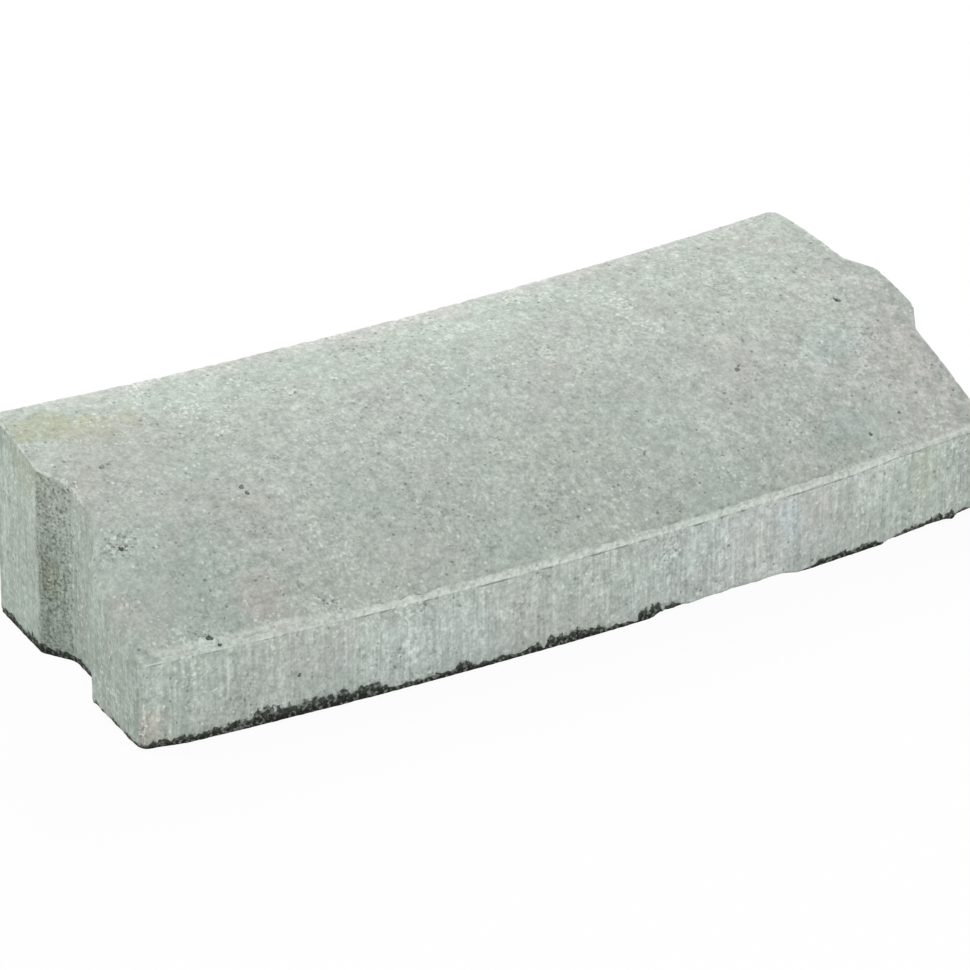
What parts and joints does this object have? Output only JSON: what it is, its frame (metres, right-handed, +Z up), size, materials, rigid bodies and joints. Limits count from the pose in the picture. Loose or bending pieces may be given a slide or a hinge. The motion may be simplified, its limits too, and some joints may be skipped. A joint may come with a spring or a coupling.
{
  "type": "curved kerb stone",
  "caption": "Curved pressed-concrete kerb stone with a low upright front, a crowned top rising to the back, and radial ends with a hollow and a matching tongue.",
  "frame": {"origin": "centre of the stone's bounding box, on its flat base", "axes": "+X along the length towards the tongue end, +Y from the low front face to the high back, +Z up from the base; the centre of the bend lies behind the stone, at +Y"},
  "size_m": [0.7826, 0.2867, 0.168],
  "materials": {
    "concrete": "dry-pressed grey concrete, matt and finely pitted"
  },
  "bodies": {
    "root": {"kerb_stone": "concrete"}
  },
  "joints": []
}
